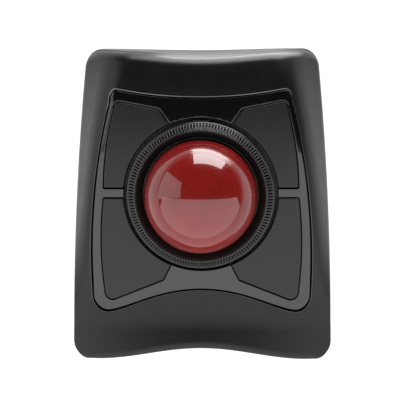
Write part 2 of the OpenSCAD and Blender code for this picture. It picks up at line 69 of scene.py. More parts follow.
BEZEL_SINK, BEZEL_EDGE, BEZEL_GAP = 0.3, 0.55, 0.45
RING_GAP = 0.3
RIBS, RIB_DEPTH = 144, 1.5
POSTS = [(36, -67), (38, 66)]
LEGS = [(42, -42), (47.5, 12.5), (37, 50)]
FEET = [(50, -66), (49, 61.5)]
FOOT_R, FOOT_T = 6.0, 1.6
SCREW_RECESS_R = 2.9
DOOR_OPENING = (-31, 34.1, 31, 70)
SLIDER_SPOTS = [(-20, -52), (20, -52)]
SLIDER_HALF = (5, 2)
CONNECT_HOLE = (0, -52, 2.58)


# ---------------------------------------------------------------- the body's surface, as in the CAD source
def smooth_min(a, b, k):
    return np.minimum(a, b) - np.maximum(k - np.abs(a - b), 0) ** 2 / (4 * k)


def smooth_max(a, b, k):
    return -smooth_min(-a, -b, k)


def deck_height(y):
    return DOME_Z + np.sqrt(CROWN_R ** 2 - (y - DOME_Y) ** 2)


def spine(y):
    front = 18.6 + 0.08 * np.maximum(-y - 54, 0)
    return smooth_max(deck_height(y), front, 4) - 0.006 * np.maximum(y - 50, 0) ** 2


def silhouette_x(y):
    return BODY_W / 2 - 0.00035 * (y + 60) ** 2


def deck_edge_x(y):
    return 54.9 - 0.00156 * (y + 32) ** 2


def side_height(x, y):
    edge = spine(y) - deck_edge_x(y) ** 2 / (2 * CROWN_R) + 5
    return RIM_Z + (edge - RIM_Z) * (silhouette_x(y) - np.abs(x)) / (silhouette_x(y) - deck_edge_x(y))


def corner_drop(x, y):
    return 0.00005 * x * x * np.maximum(-y - 54, 0)


def skin(x, y):
    return smooth_min(spine(y) - x * x / (2 * CROWN_R) - corner_drop(x, y), side_height(x, y), 10)


def tuck(z):
    return 1.6 * (np.maximum(RIM_Z - z, 0) / RIM_Z) ** 2


def body_x(y, z, inset):
    return silhouette_x(y) - tuck(z) - inset


def wave(x, reach):
    return (1 + np.cos(np.pi * np.minimum(np.abs(x) / reach, 1))) / 2


def body_front(x, z, inset):
    return -BODY_D / 2 + 6.1 * wave(x, 55.8) + 0.8 * tuck(z) + inset


def body_rear(x, z, inset):
    return BODY_D / 2 - 0.15 * z - (0.8 + 0.052 * z) * wave(x, 50) - inset


def deck_front(x):
    s = x / 46.5
    return -43.4 - 11.2 * (1.35 * s ** 2 - 0.35 * s ** 6)


def deck_rear(x):
    return 50.8 + 4.2 * np.minimum(np.abs(x) / 40.5, 1.1) ** 2


N_EDGE, N_CORNER, N_SIDE = 44, 26, 56


def loop_steps():
    """Stage and step along the right half of an outline: front edge, corner, side, corner, rear edge."""
    counts = (N_EDGE, N_CORNER, N_SIDE, N_CORNER)
    stages = [np.full(n, k) for k, n in enumerate(counts + (N_EDGE + 1,))]
    steps = [np.arange(n) / n for n in counts] + [np.arange(N_EDGE + 1) / N_EDGE]
    return np.concatenate(stages), np.concatenate(steps)


STAGE, STEP = loop_steps()


def whole_loop(x, y):
    """Mirrors the right half of an outline, front to rear, into a closed loop."""
    return np.stack([np.r_[x, -x[-2:0:-1]], np.r_[y, y[-2:0:-1]]], 1)


def half_of(value):
    return value[:len(STAGE)] if np.ndim(value) else np.full(len(STAGE), float(value))


def body_outline(z, inset=0.0):
    z = half_of(z)
    a = STEP * math.pi / 2
    fx, fy = FRONT_CORNER
    rx, ry = REAR_CORNER[0], REAR_CORNER[1] - 0.15 * z
    front_y = fy - (fy - body_front(fx, z, inset)) * np.cos(a)
    rear_y = ry + (body_rear(rx, z, inset) - ry) * np.sin(a)
    side_y = fy + (ry - fy) * STEP
    x = np.choose(STAGE, [fx * STEP, fx + (body_x(front_y, z, inset) - fx) * np.sin(a),
                          body_x(side_y, z, inset), rx + (body_x(rear_y, z, inset) - rx) * np.cos(a),
                          rx * (1 - STEP)])
    y = np.choose(STAGE, [body_front(fx * STEP, z, inset), front_y, side_y, rear_y,
                          body_rear(rx * (1 - STEP), z, inset)])
    return whole_loop(x, y)


def deck_outline(inset=0.0):
    a = STEP * math.pi / 2
    fx, fy = DECK_FRONT_CORNER
    rx, ry = DECK_REAR_CORNER
    cx = fx + (deck_edge_x(fy) - fx - inset) * np.sin(a)
    ex = rx + (deck_edge_x(ry) - rx - inset) * np.cos(a)
    side_y = fy + (ry - fy) * STEP
    x = np.choose(STAGE, [fx * STEP, cx, deck_edge_x(side_y) - inset, ex, rx * (1 - STEP)])
    front_y = fy + (deck_front(cx) + inset - fy) * np.cos(a)
    rear_y = ry + (deck_rear(ex) - inset - ry) * np.sin(a)
    y = np.choose(STAGE, [deck_front(fx * STEP) + inset, front_y, side_y, rear_y,
                          deck_rear(rx * (1 - STEP)) - inset])
    return whole_loop(x, y)


def ease(t):
    c = np.clip(t, 0, 1)
    return c * c * (3 - 2 * c)


def top_outline():
    p = body_outline(20.0)
    for _ in range(3):
        p = body_outline(skin(p[:, 0], p[:, 1]))
    return p


def round_radius(p):
    wish = 1.5 + 2 * ease((-p[:, 1] - 60) / 13) + 4 * ease((p[:, 1] - 60) / 8)
    return np.minimum(wish, skin(p[:, 0], p[:, 1]) - RIM_Z + 1.5)


def with_height(points, z):
    return np.column_stack([points, np.broadcast_to(z, len(points))])


# ---------------------------------------------------------------- mesh helpers
def add_piece(name, points, faces, material, body, nodes=(), slot=None):
    """A mesh piece from points in millimetres that rides on a CAD body."""
    mesh = bpy.data.meshes.new(name)
    mesh.from_pydata((np.asarray(points) * MM).tolist(), [], [tuple(int(i) for i in f) for f in faces])
    mesh.validate()
    bm = bmesh.new()
    bm.from_mesh(mesh)
    bmesh.ops.remove_doubles(bm, verts=bm.verts, dist=1e-7)
    bmesh.ops.recalc_face_normals(bm, faces=bm.faces)
    for face in bm.faces:
        face.smooth = True
    bm.to_mesh(mesh)
    bm.free()
    mesh.materials.append(material)
    piece = bpy.data.objects.new(name, mesh)
    bpy.context.scene.collection.objects.link(piece)
    even = piece.modifiers.new("even_normals", "WEIGHTED_NORMAL")
    even.weight = 80
    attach(piece, body)
    if nodes:
        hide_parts(*nodes)
    return piece


def strips(rings, closed=False):
    """Quads between rings of equal length; closed joins the last ring to the first."""
    n = len(rings[0])
    last = len(rings) if closed else len(rings) - 1
    i = np.arange(n)
    j = (i + 1) % n
    quads = []
    for k in range(last):
        a, b = k * n, (k + 1) % len(rings) * n
        quads.append(np.stack([a + i, a + j, b + j, b + i], 1))
    return np.concatenate(rings), np.concatenate(quads).tolist()


def merged(*meshes):
    """Joins (points, faces) pairs into one pair."""
    points, faces, start = [], [], 0
    for p, f in meshes:
        points.append(np.asarray(p))
        faces += [[i + start for i in face] for face in f]
        start += len(p)
    return np.concatenate(points), faces


def cad_faces(node, keep):
    """The faces of a CAD node whose corners all pass keep(points), in millimetres."""
    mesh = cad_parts[node].data
    points = np.empty(len(mesh.vertices) * 3)
    mesh.vertices.foreach_get("co", points)
    points = points.reshape(-1, 3)
    matrix = np.array(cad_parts[node].matrix_world)
    points = (points @ matrix[:3, :3].T + matrix[:3, 3]) / MM
    good = keep(points)
    faces = [tuple(p.vertices) for p in mesh.polygons if all(good[i] for i in p.vertices)]
    return points, faces


def resampled(points, step):
    """Points evenly set along a closed loop, its corners kept."""
    out = []
    for a, b in zip(points, np.roll(points, -1, 0)):
        n = max(1, int(math.ceil(np.linalg.norm(b - a) / step)))
        out += [a + (b - a) * k / n for k in range(n)]
    return np.array(out)


def signed_area(p):
    q = np.roll(p, -1, 0)
    return (p[:, 0] * q[:, 1] - q[:, 0] * p[:, 1]).sum() / 2


def moved_in(loop, d):
    """The loop moved to its left by d, mitred at corners."""
    ahead = np.roll(loop, -1, 0) - loop
    ahead /= np.maximum(np.linalg.norm(ahead, axis=1, keepdims=True), 1e-9)
    normal = np.stack([-ahead[:, 1], ahead[:, 0]], 1)
    behind = np.roll(normal, 1, 0)
    both = normal + behind
    both /= np.maximum(np.linalg.norm(both, axis=1, keepdims=True), 1e-9)
    reach = 1 / np.maximum((both * normal).sum(1, keepdims=True), 0.6)
    return loop + both * reach * d


def inside(points, loop):
    """Even-odd test of many points against one loop."""
    x, y = points[:, 0:1], points[:, 1:2]
    a, b = loop, np.roll(loop, -1, 0)
    crosses = (a[:, 1] > y) != (b[:, 1] > y)
    rise = np.where(np.abs(b[:, 1] - a[:, 1]) < 1e-12, 1e-12, b[:, 1] - a[:, 1])
    return (crosses & (x < (b[:, 0] - a[:, 0]) * (y - a[:, 1]) / rise + a[:, 0])).sum(1) % 2 == 1


def filled(loops, spacing):
    """Triangles that fill the area between an outer loop and its holes, with points spread inside."""
    low, high = loops[0].min(0), loops[0].max(0)
    columns = np.arange(low[0], high[0], spacing)
    rows = np.arange(low[1], high[1], spacing * 0.87)
    grid = np.array([(x + (k % 2) * spacing / 2, y) for k, y in enumerate(rows) for x in columns])
    edge_points = np.concatenate(loops)
    good = inside(grid, loops[0])
    for hole in loops[1:]:
        good &= ~inside(grid, hole)
    grid = grid[good]
    near = np.array([((edge_points - g) ** 2).sum(1).min() for g in grid]) if len(grid) else np.zeros(0)
    grid = grid[near > (0.55 * spacing) ** 2]
    edges, start = [], 0
    for loop in loops:
        n = len(loop)
        edges += [(start + i, start + (i + 1) % n) for i in range(n)]
        start += n
    points = np.concatenate([edge_points, grid])
    out, _, triangles, source, _, _ = delaunay_2d_cdt([Vector(p) for p in points], edges, [], 0, 1e-9)
    out = np.array([tuple(p) for p in out])
    triangles = np.array([t for t in triangles])
    centres = out[triangles].mean(1)
    good = inside(centres, loops[0])
    for hole in loops[1:]:
        good &= ~inside(centres, hole)
    return out, triangles[good]


def plate(loops, top, thickness, edge, spacing=1.6):
    """A plate with a rounded upper edge: outer loop counter-clockwise, holes clockwise."""
    parts, rims = [], []
    for loop in loops:
        rings = [with_height(loop, top(loop[:, 0], loop[:, 1]) - thickness)]
        for a in np.radians(np.linspace(0, 90, 6)):
            p = moved_in(loop, edge * (1 - math.cos(a)))
            rings.append(with_height(p, top(p[:, 0], p[:, 1]) - edge * (1 - math.sin(a))))
        parts.append(strips(rings))
        rims.append(rings[-1][:, :2])
    points, triangles = filled(rims, spacing)
    parts.append((with_height(points, top(points[:, 0], points[:, 1])), triangles.tolist()))
    points, triangles = filled(loops, spacing * 2.5)
    under = with_height(points, top(points[:, 0], points[:, 1]) - thickness)
    parts.append((under, triangles[:, ::-1].tolist()))
    return merged(*parts)


def arc(centre, r, start, end, n):
    a = np.radians(np.linspace(start, end, n + 1))
    return np.stack([centre[0] + r * np.cos(a), centre[1] + r * np.sin(a)], 1)


def circle(x, y, r, n=48):
    return arc((x, y), r, 0, 360, n)[:-1]


def lathe(profile, n):
    """Turns a closed (r, z) profile about Z."""
    a = np.linspace(0, 2 * math.pi, n, endpoint=False)
    rings = [np.stack([r * np.cos(a), r * np.sin(a), np.full(n, z)], 1) for r, z in profile]
    return strips(rings, closed=True)


def tilted(points, centre):
    """From the tilted deck or ring frame to the body frame."""
    c, s = math.cos(TILT), math.sin(TILT)
    x, y, z = points[:, 0], points[:, 1], points[:, 2]
    return np.stack([x, y * c - z * s, y * s + z * c], 1) + centre


def deck_top(x, y):
    return DOME_Z + np.sqrt(CROWN_R ** 2 - x ** 2 - (y - DOME_Y) ** 2)


def along_deck(p):
    """Distance along the deck of plan points on the domed surface."""
    rise = deck_top(p[:, 0], p[:, 1]) - DECK_Z
    return (p[:, 1] - DECK_Y) * math.cos(TILT) + rise * math.sin(TILT)


def opening_arc(r, start, end, step=1.0):
    n = max(2, int(abs(end - start) / step))
    a = np.radians(np.linspace(start, end, n + 1))
    x, v = r * np.cos(a), r * np.sin(a)
    sag = math.sqrt(CROWN_R ** 2 - r ** 2) - CROWN_R
    return np.stack([x, DECK_Y + v * math.cos(TILT) - sag * math.sin(TILT)], 1)


# ---------------------------------------------------------------- button outlines
def front_side_x(y):
    return 49.7 - 0.0026 * (y + 22) ** 2


def rear_side_x(y):
    return 48 - 0.0033 * (y - 5) ** 2


def front_outline(gap):
    """Right front button, clockwise from its inner rear corner, moved in by gap."""
    y = np.linspace(-1, -42.6, 24)
    return np.concatenate([
        [[8, 2.4 - gap]],
        arc((front_side_x(1) - 1, 1.4), 1 - gap, 90, 0, 6),
        np.stack([front_side_x(y) - gap, y], 1),
        arc((44.4, -44.6), 4 - gap, 0, -111.9, 22),
        arc((19.6, -37.3), 1.5 - gap, -111.9, -153.8, 8),
        [[11.6 + gap, -24.5], [8, -14]]])


def rear_outline(gap):
    """Right rear button, counter-clockwise from its inner front corner, moved in by gap."""
    y = np.linspace(10, 45.7, 22)
    return np.concatenate([
        [[8, 6.9 + gap]],
        arc((rear_side_x(8) - 1, 7.9), 1 - gap, -90, 0, 6),
        np.stack([rear_side_x(y) - gap, y], 1),
        arc((39.9, 46.6), 2.6 - gap, -12, 101.8, 16),
        arc((21.2, 43.6), 1.8 - gap, 101.8, 145.1, 8),
        [[11.1 + gap, 32.3], [8, 22]]])


def outside_ring(outline, r):
    """The run of an outline that lies outside the ring opening, its ends on the circle, and their angles."""
    p = resampled(outline, 0.4)
    if signed_area(p) < 0:
        p = p[::-1]
    radius = np.hypot(p[:, 0], along_deck(p))
    out = radius > r
    start = next(i for i in range(len(p)) if out[i] and not out[i - 1])
    p = np.roll(p, -start, 0)
    run = p[:int(out.sum())]
    angles = np.degrees(np.arctan2(along_deck(run), run[:, 0]))
    return run, angles[0], angles[-1]


def mirrored(loop):
    return (loop * [-1, 1])[::-1]


def button_loop(outline):
    r = OPENING_R + RING_GAP
    run, first, last = outside_ring(outline(BUTTON_GAP), r)
    back = opening_arc(r, last, first)
    return np.concatenate([run, back[1:-1]])


def bezel_hole():
    """The ring opening joined with the four button openings, clockwise."""
    runs = []
    for outline in (front_outline(0.0), rear_outline(0.0)):
        for loop in (outline, outline * [-1, 1]):
            runs.append(outside_ring(loop, OPENING_R))
    runs.sort(key=lambda run: run[1])
    parts = []
    for k, (run, first, last) in enumerate(runs):
        following = runs[(k + 1) % 4][1]
        if following < last:
            following += 360
        parts += [run, opening_arc(OPENING_R, last, following)[1:-1]]
    return np.concatenate(parts)[::-1]


# ---------------------------------------------------------------- materials
def new_material(name):
    material = bpy.data.materials.new(name)
    material.use_nodes = True
    nodes = material.node_tree.nodes
    nodes.clear()
    out = nodes.new("ShaderNodeOutputMaterial")
    shader = nodes.new("ShaderNodeBsdfPrincipled")
    material.node_tree.links.new(shader.outputs[0], out.inputs[0])
    return material, material.node_tree, shader


def noise(tree, scale, detail=3.0, rough=0.5):
    place = tree.nodes.new("ShaderNodeTexCoord")
    node = tree.nodes.new("ShaderNodeTexNoise")
    node.inputs["Scale"].default_value = scale
    node.inputs["Detail"].default_value = detail
    node.inputs["Roughness"].default_value = rough
    tree.links.new(place.outputs["Object"], node.inputs["Vector"])
    return node.outputs["Fac"]


def ramp(tree, value, low, high, start=0.3, end=0.7):
    """Maps a 0 to 1 value onto a smooth step between two colours."""
    node = tree.nodes.new("ShaderNodeValToRGB")
    node.color_ramp.elements[0].position = start
    node.color_ramp.elements[1].position = end
    node.color_ramp.elements[0].color = (*low, 1)
    node.color_ramp.elements[1].color = (*high, 1)
    tree.links.new(value, node.inputs[0])
    return node.outputs["Color"]


def bump(tree, shader, value, depth, strength=1.0):
    node = tree.nodes.new("ShaderNodeBump")
    node.inputs["Strength"].default_value = strength
    node.inputs["Distance"].default_value = depth
    tree.links.new(value, node.inputs["Height"])
    tree.links.new(node.outputs[0], shader.inputs["Normal"])


def shade(colour, factor):
    return tuple(min(c * factor, 1) for c in colour)


def plastic(name, colour, rough, grain=4200.0, depth=0.000012, spread=0.08, coat=0.0, level=0.5):
    """Moulded plastic: slight flow shading, a spark-eroded grain and a worn variation in gloss."""
    material, tree, shader = new_material(name)
    flow = noise(tree, 38, 4)
    tint = ramp(tree, flow, shade(colour, 1 - spread), shade(colour, 1 + spread))
    tree.links.new(tint, shader.inputs["Base Color"])
    gloss = noise(tree, 160, 5, 0.6)
    low, high = rough * 0.88, rough * 1.12
    tree.links.new(ramp(tree, gloss, (low,) * 3, (high,) * 3), shader.inputs["Roughness"])
    bump(tree, shader, noise(tree, grain, 2), depth)
    shader.inputs["Specular IOR Level"].default_value = level
    shader.inputs["Coat Weight"].default_value = coat
    shader.inputs["Coat Roughness"].default_value = 0.05
    return material


def metal(name, colour, rough, lines=900.0):
    """Worked metal with fine turning marks along Y."""
    material, tree, shader = new_material(name)
    place = tree.nodes.new("ShaderNodeTexCoord")
    stretch = tree.nodes.new("ShaderNodeMapping")
    stretch.inputs["Scale"].default_value = (1, 0.05, 1)
    tree.links.new(place.outputs["Object"], stretch.inputs["Vector"])
    marks = tree.nodes.new("ShaderNodeTexNoise")
    marks.inputs["Scale"].default_value = lines
    tree.links.new(stretch.outputs[0], marks.inputs["Vector"])
    tree.links.new(ramp(tree, marks.outputs["Fac"], shade(colour, 0.85), shade(colour, 1.1)),
                   shader.inputs["Base Color"])
    tree.links.new(ramp(tree, marks.outputs["Fac"], (rough * 0.8,) * 3, (rough * 1.25,) * 3),
                   shader.inputs["Roughness"])
    bump(tree, shader, marks.outputs["Fac"], 0.000008)
    shader.inputs["Metallic"].default_value = 1.0
    return material


def ball_resin():
    """Clear-coated deep red resin with fine bright flecks below the surface."""
    material, tree, shader = new_material("ball_resin")
    place = tree.nodes.new("ShaderNodeTexCoord")
    cells = tree.nodes.new("ShaderNodeTexVoronoi")
    cells.inputs["Scale"].default_value = 1500
    tree.links.new(place.outputs["Object"], cells.inputs["Vector"])
    flecks = ramp(tree, cells.outputs["Distance"], (0.46, 0.05, 0.022), (0.12, 0.005, 0.005), 0.02, 0.3)
    cloud = noise(tree, 90, 4)
    depth = ramp(tree, cloud, (0.1, 0.004, 0.004), (0.16, 0.008, 0.006))
    mix = tree.nodes.new("ShaderNodeMix")
    mix.data_type = "RGBA"
    mix.inputs["Factor"].default_value = 0.35
    tree.links.new(depth, mix.inputs[6])
    tree.links.new(flecks, mix.inputs[7])
    tree.links.new(mix.outputs[2], shader.inputs["Base Color"])
    tree.links.new(ramp(tree, noise(tree, 220, 4), (0.18,) * 3, (0.26,) * 3), shader.inputs["Roughness"])
    shader.inputs["Coat Weight"].default_value = 0.8
    shader.inputs["Coat Roughness"].default_value = 0.015
    shader.inputs["Specular IOR Level"].default_value = 0.1
    return material


def lens_clear():
    material, tree, shader = new_material("lens_clear")
    tree.links.new(ramp(tree, noise(tree, 300, 2), (0.02,) * 3, (0.06,) * 3), shader.inputs["Roughness"])
    tint = ramp(tree, noise(tree, 80, 2), (0.85, 0.9, 0.93), (0.93, 0.96, 0.98))
    tree.links.new(tint, shader.inputs["Base Color"])
    shader.inputs["Transmission Weight"].default_value = 0.9
    shader.inputs["IOR"].default_value = 1.5
    return material


def circuit_board():
    """Green solder mask over faint copper tracks."""
    material, tree, shader = new_material("circuit_board")
    place = tree.nodes.new("ShaderNodeTexCoord")
    tracks = tree.nodes.new("ShaderNodeTexBrick")
    tracks.inputs["Scale"].default_value = 160
    tracks.inputs["Mortar Size"].default_value = 0.04
    tracks.inputs["Color1"].default_value = (0.014, 0.1, 0.045, 1)
    tracks.inputs["Color2"].default_value = (0.02, 0.13, 0.055, 1)
    tracks.inputs["Mortar"].default_value = (0.05, 0.22, 0.09, 1)
    tree.links.new(place.outputs["Object"], tracks.inputs["Vector"])
    tree.links.new(tracks.outputs["Color"], shader.inputs["Base Color"])
    tree.links.new(ramp(tree, noise(tree, 400, 3), (0.28,) * 3, (0.4,) * 3), shader.inputs["Roughness"])
    bump(tree, shader, tracks.outputs["Fac"], 0.00002)
    return material


MATERIALS = {
    "shell": plastic("satin_shell", (0.0034, 0.0034, 0.0038), 0.34, depth=0.000008, level=0.21),
    "base": plastic("textured_base", (0.02, 0.02, 0.022), 0.5, grain=3000, depth=0.00002),
    "bezel": plastic("gloss_bezel", (0.0025, 0.0025, 0.0028), 0.1, grain=1500, depth=0.0000006,
                     spread=0.15),
    "bead": plastic("polished_edge", (0.0035, 0.0035, 0.0038), 0.14, grain=1500, depth=0.0000006,
                    level=1.0),
    "button": plastic("satin_button", (0.01, 0.01, 0.0107), 0.3, depth=0.000006, level=0.22),
    "ring": plastic("ring_black", (0.006, 0.006, 0.0065), 0.3, depth=0.000006, level=0.4),
    "inner": plastic("moulded_dark", (0.02, 0.02, 0.022), 0.45),
    "deep": plastic("deep_black", (0.006, 0.006, 0.006), 0.5),
    "chip": plastic("moulded_epoxy", (0.009, 0.009, 0.01), 0.38, grain=6000),
    "ceramic": plastic("white_ceramic", (0.72, 0.71, 0.68), 0.12, depth=0.000002, spread=0.02),
    "acetal": plastic("natural_acetal", (0.62, 0.6, 0.55), 0.35, spread=0.03),
    "rubber": plastic("foot_rubber", (0.03, 0.03, 0.032), 0.75, grain=2500, depth=0.00004, level=0.3),
    "knob": plastic("grey_knob", (0.13, 0.135, 0.145), 0.42),
    "red": plastic("red_plunger", (0.5, 0.04, 0.03), 0.4),
    "cap": plastic("receiver_cap", (0.01, 0.01, 0.011), 0.2, depth=0.000002),
    "sleeve": plastic("cell_sleeve", (0.05, 0.08, 0.12), 0.28, grain=700, depth=0.000004, coat=0.4),
    "steel": metal("ground_steel", (0.6, 0.6, 0.62), 0.22),
    "zinc": metal("zinc_plate", (0.45, 0.46, 0.48), 0.34, 1400),
    "tin": metal("pressed_tin", (0.52, 0.52, 0.54), 0.3, 600),
    "nickel": metal("nickel_plate", (0.68, 0.68, 0.7), 0.16, 1200),
    "board": circuit_board(),
    "ball": ball_resin(),
    "lens": lens_clear(),
}

# the material of every CAD node, those that a piece replaces too
NODE_MATERIALS = {
    "inner": ["chassis"], "deep": ["ball_cup", "encoder_ring"], "ceramic": ["support_bearings"],
    "acetal": ["ring_track"], "steel": ["hinge_pins", "door_pin"],
    "zinc": ["case_screws", "bezel_screws", "cup_screws", "board_screws"],
    "board": ["main_board", "left_switch_board", "right_switch_board", "sensor_board"],
    "chip": ["controller_chip", "sensor_chip", "encoder_fork", "front_left_switch", "front_right_switch",
             "rear_left_switch", "rear_right_switch"],
    "tin": ["power_switch", "mode_switch", "connect_switch"], "sleeve": ["front_cell", "rear_cell"],
    "nickel": ["battery_springs", "contact_plates"], "cap": ["usb_receiver"], "lens": ["sensor_lens"],
    "red": ["front_left_plunger", "front_right_plunger", "rear_left_plunger", "rear_right_plunger"],
    "base": ["battery_door", "base_shell"], "knob": ["power_slider", "mode_slider", "connect_button"],
    "rubber": ["rubber_feet"], "ball": ["ball"], "ring": ["scroll_ring"], "bezel": ["bezel"],
    "shell": ["top_shell"],
    "button": ["front_left_button", "front_right_button", "rear_left_button", "rear_right_button"],
}
for key, names in NODE_MATERIALS.items():
    for name in names:
        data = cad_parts[name].data
        data.materials.clear()
        data.materials.append(MATERIALS[key])


# ---------------------------------------------------------------- the pieces
def near_posts(points):
    good = np.zeros(len(points), bool)
    for x, y in POSTS:
        good |= np.hypot(np.abs(points[:, 0]) - x, points[:, 1] - y) < 3.4
    return good & (points[:, 2] < 40)


def top_shell_piece():
    """The shell frame: rounded outside, an eased lip round the bezel, and its inner wall."""
    top = top_outline()
    r = round_radius(top)
    opening = deck_outline()
    way = opening - top
    span = np.linalg.norm(way, axis=1)
    way /= span[:, None]

    def point(d, lower):
        p = top + way * np.reshape(d, (-1, 1)) if np.ndim(d) else top + way * d
        d = np.broadcast_to(d, len(top))
        rest = np.maximum(r - d, 0)
        drop = np.where(d < r, r - np.sqrt(np.maximum(r * r - rest * rest, 0)), 0)
        return with_height(p, np.maximum(skin(p[:, 0], p[:, 1]) - drop - lower, SEAM_Z + 0.3))

    first = point(0.0, 0.0)
    rings = [with_height(body_outline(SEAM_Z, 0.18), SEAM_Z - 0.02)]
    for t in np.linspace(0, 1, 10)[:-1]:
        z = SEAM_Z + (first[:, 2] - SEAM_Z) * t
        rings.append(with_height(body_outline(z), z))
    for a in np.radians(np.linspace(0, 90, 13)):
        rings.append(point(r * (1 - math.cos(a)), 0.0))
    lip, under = 0.6, WALL + 0.3
    for t in np.linspace(0, 1, 40)[1:]:
        rings.append(point(r + (span - lip - r) * t, 0.0))
    for a in np.radians(np.linspace(0, 90, 6))[1:]:
        rings.append(point(span - lip + lip * math.sin(a), lip * (1 - math.cos(a))))
    rings.append(point(span, under))
    for t in np.linspace(1, 0, 9)[1:]:
        rings.append(point(WALL + (span - WALL) * t, under))
    rings.append(with_height(body_outline(SEAM_Z, WALL), SEAM_Z))
    shell = strips(rings, closed=True)
    posts = cad_faces("top_shell", near_posts)
    add_piece("top_shell_skin", *merged(shell, posts), MATERIALS["shell"], "housing",
              ["top_shell"], "shell_black")


def lip_piece():
    """A narrow polished bead that edges the rear of the shell's opening."""
    edge_y = deck_outline()[:len(STAGE), 1]
    rear = ease((edge_y - 44) / 5)
    radius = 0.1 + 0.5 * rear
    around = np.r_[radius, radius[-2:0:-1]]
    rings = []
    for a in np.radians(np.arange(0, 360, 24)):
        p = deck_outline(0.3 * rear - 0.2 - radius + radius * math.cos(a))
        rings.append(with_height(p, skin(p[:, 0], p[:, 1]) + 0.04 - around + around * math.sin(a)))
    add_piece("opening_bead", *strips(rings, closed=True), MATERIALS["bead"], "housing",
              slot="shell_black")


def below_plate(points):
    centre = np.array([0.0, DOME_Y, DOME_Z])
    return np.linalg.norm(points - centre, axis=1) < CROWN_R - DECK_T + 0.03


def bezel_top(x, y):
    """The bezel lies just under the shell's surface and slopes away beside the buttons."""
    inner = np.where(y < 1, front_side_x(np.maximum(y, -45)), rear_side_x(np.minimum(y, 48))) + 0.2
    side = np.maximum(np.abs(x) - inner, 0)
    slope = 0.26 * ease((y + 52) / 16)
    return deck_top(x, y) - BEZEL_SINK - slope * (np.sqrt(side ** 2 + 0.25) - 0.5)


def bezel_piece():
    outer = resampled(deck_outline(BEZEL_GAP), 1.0)
    hole = bezel_hole()
    sheet = plate([outer, hole], bezel_top, DECK_T, BEZEL_EDGE, 1.3)
    posts = cad_faces("bezel", below_plate)
    add_piece("bezel_frame", *merged(sheet, posts), MATERIALS["bezel"], "housing", ["bezel"], "bezel_gloss")


def button_top(x, y):
    return deck_top(x, y) + BUTTON_RISE


def button_pieces():
    for end, outline in (("front", front_outline), ("rear", rear_outline)):
        right = button_loop(outline)
        for side, loop in (("right", right), ("left", mirrored(right))):
            node = f"{end}_{side}_button"
            cap = plate([loop], button_top, DECK_T, BUTTON_EDGE)
            ears = cad_faces(node, below_plate)
            add_piece(f"{end}_{side}_key_cap", *merged(cap, ears), MATERIALS["button"],
                      f"{end}_{side}_key", [node], "button_grey")


def ring_piece():
    """The scroll ring: a smooth crest, a band of ribs with slots between them, and a plain outer rim."""
    per_rib = 12
    n = RIBS * per_rib
    a = np.linspace(0, 2 * math.pi, n, endpoint=False)
    phase = np.abs((np.arange(n) % per_rib) / per_rib - 0.5) * 2
    slot = ease((phase - 0.46) / 0.12)
    path = [(28.6, -4.9), (28.5, -4.2), (28.7, -3.6), (29.4, -2.7), (30.2, -1.8), (31.0, -0.95),
            (31.4, -0.55)]
    band = [(31.5, -0.46, 0.0), (31.56, -0.42, 0.14), (31.85, -0.2, 0.14), (31.9, -0.16, 0.0),
            (32.1, -0.1, 0.0), (32.35, -0.14, 0.0), (32.5, -0.2, 0.0), (32.58, -0.26, 0.8),
            (32.9, -0.5, 1.0), (33.6, -1.08, 1.0), (34.2, -1.62, 1.0), (34.8, -2.2, 1.0),
            (35.4, -2.8, 1.0), (35.5, -2.92, 0.0)]
    rim = [(35.7, -3.05), (35.95, -3.25), (36.1, -3.6), (36.16, -4.1), (36.16, -6.7), (36.0, -6.95),
           (35.1, -6.98), (35.0, -6.8), (35.0, -5.2), (34.9, -5.0), (32.9, -5.0), (32.9, -7.0),
           (32.2, -7.0), (32.2, -5.1)]
    inward, down = 0.68, 0.73
    rings = []
    for r, z, share in [(r, z, 0.0) for r, z in path] + band + [(r, z, 0.0) for r, z in rim]:
        cut = RIB_DEPTH * share * slot
        rr = r - cut * inward
        zz = z - cut * down
        rings.append(np.stack([rr * np.cos(a), rr * np.sin(a), zz], 1))
    points, faces = strips(rings, closed=True)
    add_piece("scroll_ring_ribbed", tilted(points, BALL), faces, MATERIALS["ring"], "scroll_wheel",
              ["scroll_ring"], "ring_black")


def rectangle(x0, y0, x1, y1, r=0.6):
    corners = [((x1 - r, y1 - r), 0), ((x0 + r, y1 - r), 90), ((x0 + r, y0 + r), 180), ((x1 - r, y0 + r), 270)]
    return np.concatenate([arc(c, r, a, a + 90, 5) for c, a in corners])


